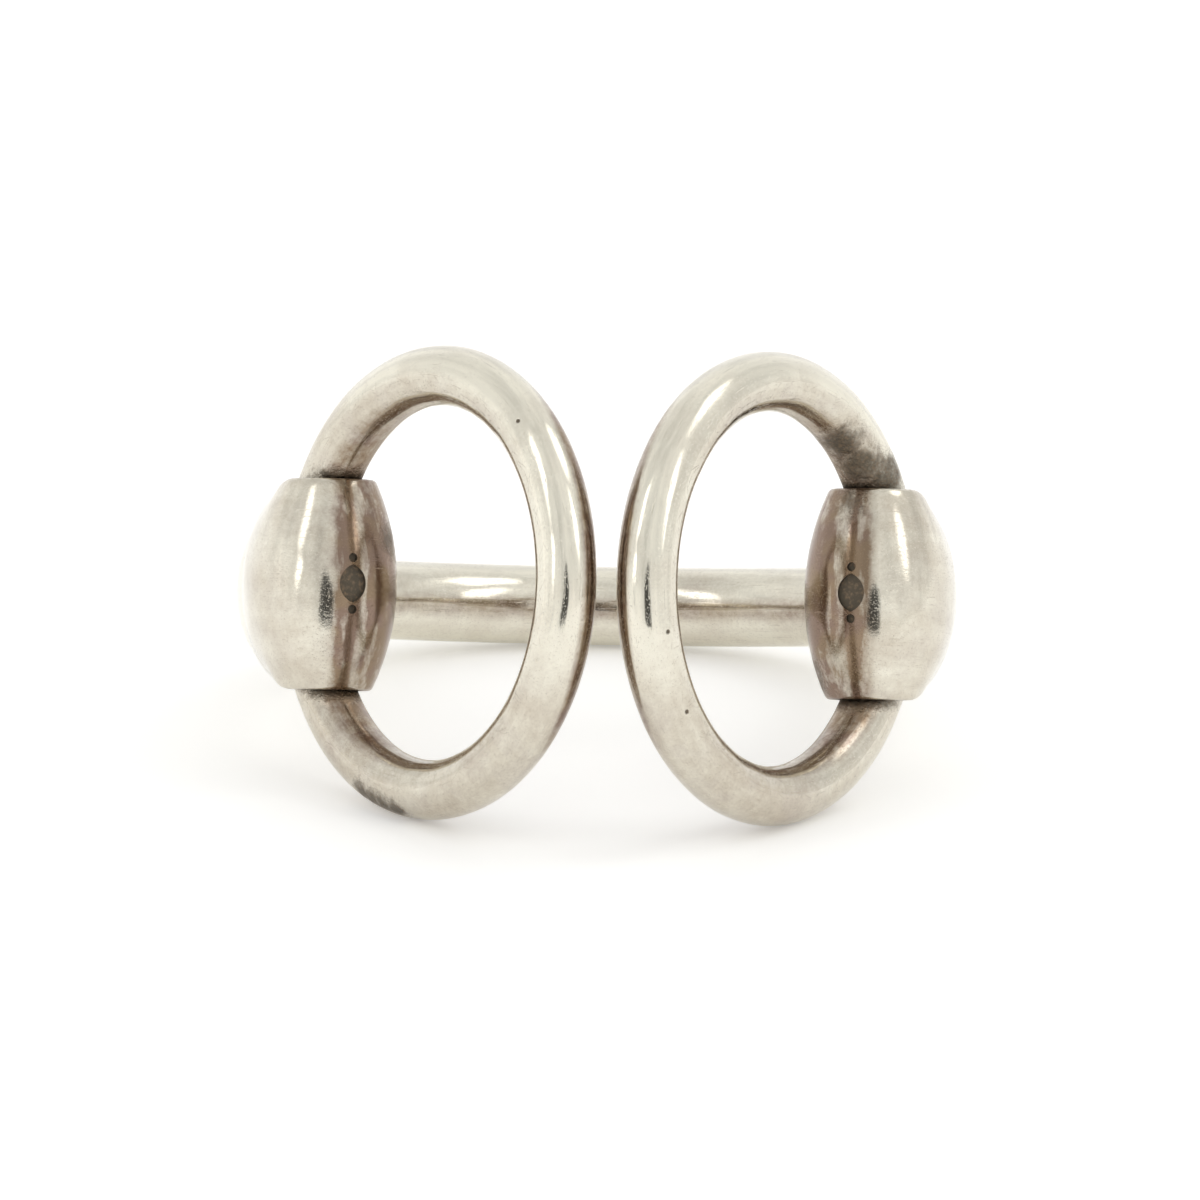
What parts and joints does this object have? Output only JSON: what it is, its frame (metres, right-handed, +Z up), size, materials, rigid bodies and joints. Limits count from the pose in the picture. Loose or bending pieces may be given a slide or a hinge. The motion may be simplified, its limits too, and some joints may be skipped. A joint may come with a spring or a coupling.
{
  "type": "bit-shaped finger ring",
  "caption": "Open silver finger ring in the form of a horse's bit: a round wire band, two flared butts and two slanting wire loops that nearly meet at the front.",
  "frame": {"origin": "centre of the outer box's underside, on the surface that the ring lies on", "axes": "+Z up from that surface, -Y towards the front where the two loops nearly meet, +X to the right seen from the front; the finger's own axis leans back 16 degrees from +Z towards +Y"},
  "size_m": [0.0214, 0.026, 0.0134],
  "materials": {
    "band_silver": "polished aged silver, worn and tarnished grey-brown in its corners and marks",
    "loop_silver": "polished aged silver with fine scratches, tarnished brown on its inward side"
  },
  "bodies": {
    "root": {"band": "band_silver", "loop_left": "loop_silver", "loop_right": "loop_silver"}
  },
  "joints": []
}
